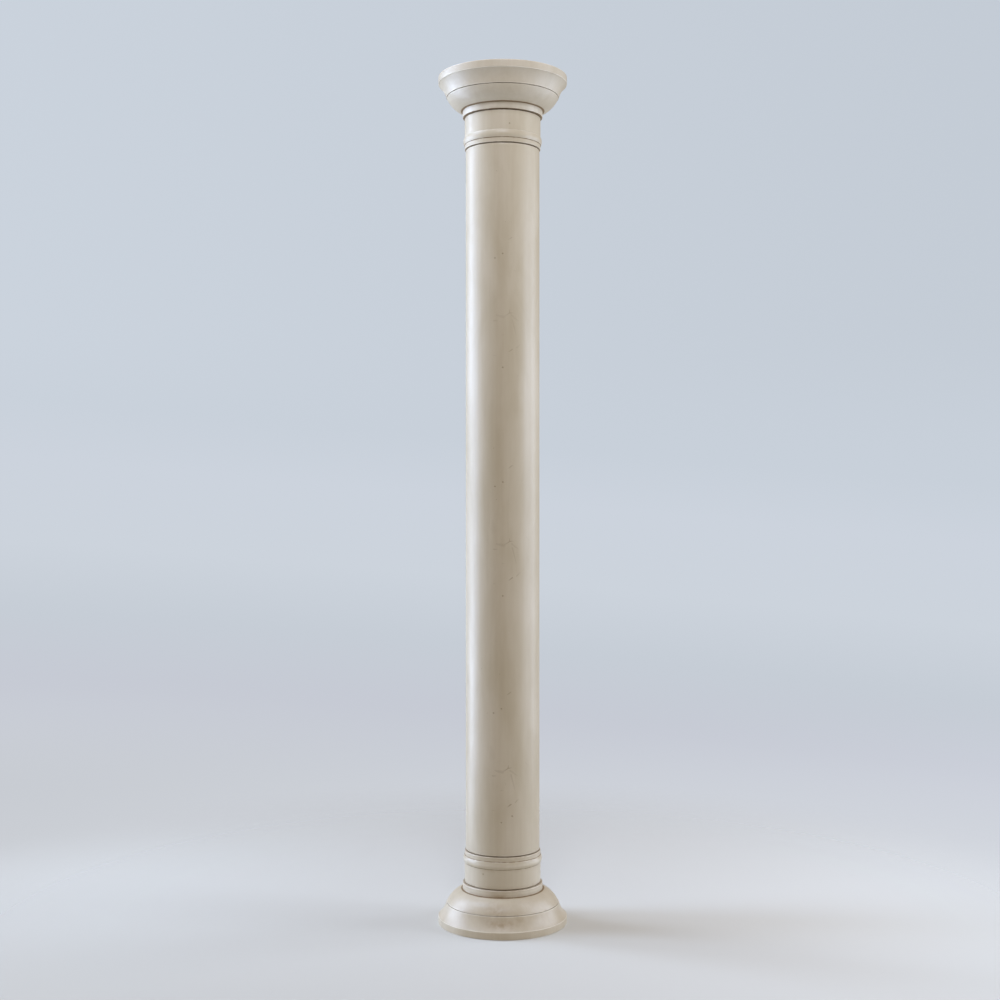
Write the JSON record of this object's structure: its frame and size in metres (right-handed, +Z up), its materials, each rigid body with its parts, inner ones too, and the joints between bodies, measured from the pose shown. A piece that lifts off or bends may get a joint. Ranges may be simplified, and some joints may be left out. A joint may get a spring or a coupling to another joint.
{
  "type": "doric column",
  "caption": "Plain round stone column with a smooth straight shaft and like turned mouldings at its foot and head, to carry a beam or a porch roof.",
  "frame": {"origin": "centre of the round underside of the base, on the floor", "axes": "+Z up along the axis of the column; X and Y are alike, and the picture looks along +Y"},
  "size_m": [0.457, 0.457, 3],
  "materials": {
    "limestone": "finely rubbed cream limestone with a satin face, faint clouding, small dark pits and brown dirt in the quirks and joints"
  },
  "bodies": {
    "root": {"base": "limestone", "lower_necking": "limestone", "shaft": "limestone", "upper_necking": "limestone", "capital": "limestone"}
  },
  "joints": []
}
